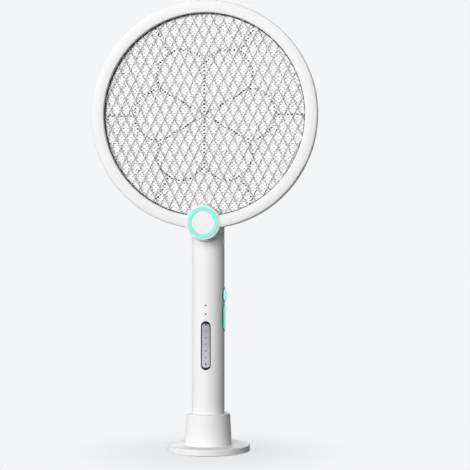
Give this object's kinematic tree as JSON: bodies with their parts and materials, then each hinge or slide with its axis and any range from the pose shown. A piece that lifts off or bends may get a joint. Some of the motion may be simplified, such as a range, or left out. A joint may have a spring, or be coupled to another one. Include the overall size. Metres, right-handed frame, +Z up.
{
  "type": "electric fly swatter",
  "caption": "Round electric fly swatter with a three layer net and a flower lattice, swivel hub, straight handle with lamp window and side keys, and a round charging stand.",
  "frame": {"origin": "centre of the stand underside on the table plane, on the axis of the handle", "axes": "+Z up the handle, -Y towards the user, the side with the net face and the lamp window, +X to the side of the keys"},
  "size_m": [0.22, 0.0816, 0.4375],
  "materials": {
    "white_plastic": "satin",
    "teal_plastic": "satin",
    "black_plastic": "matt",
    "net_steel": "bright nickel plate",
    "live_net_steel": "satin nickel plate",
    "steel": "plated",
    "ballast_iron": "bare",
    "brass": "bare",
    "ivory_plastic": "matt",
    "board": "solder mask",
    "lens": "frosted grey lilac",
    "lamp": "clear",
    "indicator": "dark red",
    "capacitor_case": "gloss",
    "cell_wrap": "shrink wrap",
    "rubber": "matt"
  },
  "bodies": {
    "stand": {"stand_cover": "white_plastic", "stand_base": "white_plastic", "ballast_ring": "ballast_iron", "stand_board": "board", "usb_socket": "steel", "contact_housing": "black_plastic", "stand_screws": "steel", "rubber_foot": "rubber"},
    "handle": {"bearing_plate": "white_plastic", "swivel_bush": "ivory_plastic", "thrust_washer": "steel", "live_brush": "brass", "earth_brush": "brass", "handle_front_shell": "white_plastic", "handle_rear_shell": "white_plastic", "handle_screws": "steel", "window_lens": "lens", "lamp_board": "board", "lamps": "lamp", "indicator_lights": "indicator", "key_bezel": "black_plastic", "key_board": "board", "tact_switches": "black_plastic", "main_board": "board", "transformer": "black_plastic", "capacitor": "capacitor_case", "battery_cell": "cell_wrap", "battery_cradle": "ivory_plastic", "battery_contacts": "steel", "end_cap": "white_plastic", "charge_pads": "brass"},
    "head": {"head_front_frame": "white_plastic", "head_rear_frame": "white_plastic", "front_net": "net_steel", "front_spacer": "black_plastic", "live_net": "live_net_steel", "rear_spacer": "black_plastic", "rear_net": "net_steel", "head_screws": "steel", "hub_ring": "teal_plastic", "hub_cap": "white_plastic", "swivel_shaft": "steel", "pin_sleeve": "ivory_plastic", "contact_pin": "brass", "live_strap": "brass", "earth_straps": "brass", "retaining_clip": "steel"},
    "trigger": {"trigger_key": "teal_plastic"},
    "button": {"power_button": "teal_plastic"},
    "contacts": {"spring_contacts": "brass"}
  },
  "joints": [
    {"name": "handle_lift", "type": "slide", "parent": "stand", "child": "handle", "axis": [0, 0, 1], "range_m": [0, 0.06]},
    {"name": "head_swivel", "type": "hinge", "parent": "handle", "child": "head", "pos_m": [0, -0.0243, 0.2235], "axis": [0, 1, 0], "range_deg": [-90, 90]},
    {"name": "trigger_press", "type": "slide", "parent": "handle", "child": "trigger", "axis": [-1, 0, 0], "range_m": [0, 0.0008], "stiffness_N_per_m": 2500},
    {"name": "button_press", "type": "slide", "parent": "handle", "child": "button", "axis": [-1, 0, 0], "range_m": [0, 0.0008], "stiffness_N_per_m": 2500},
    {"name": "contact_press", "type": "slide", "parent": "stand", "child": "contacts", "axis": [0, 0, -1], "range_m": [0, 0.0008], "stiffness_N_per_m": 800}
  ]
}
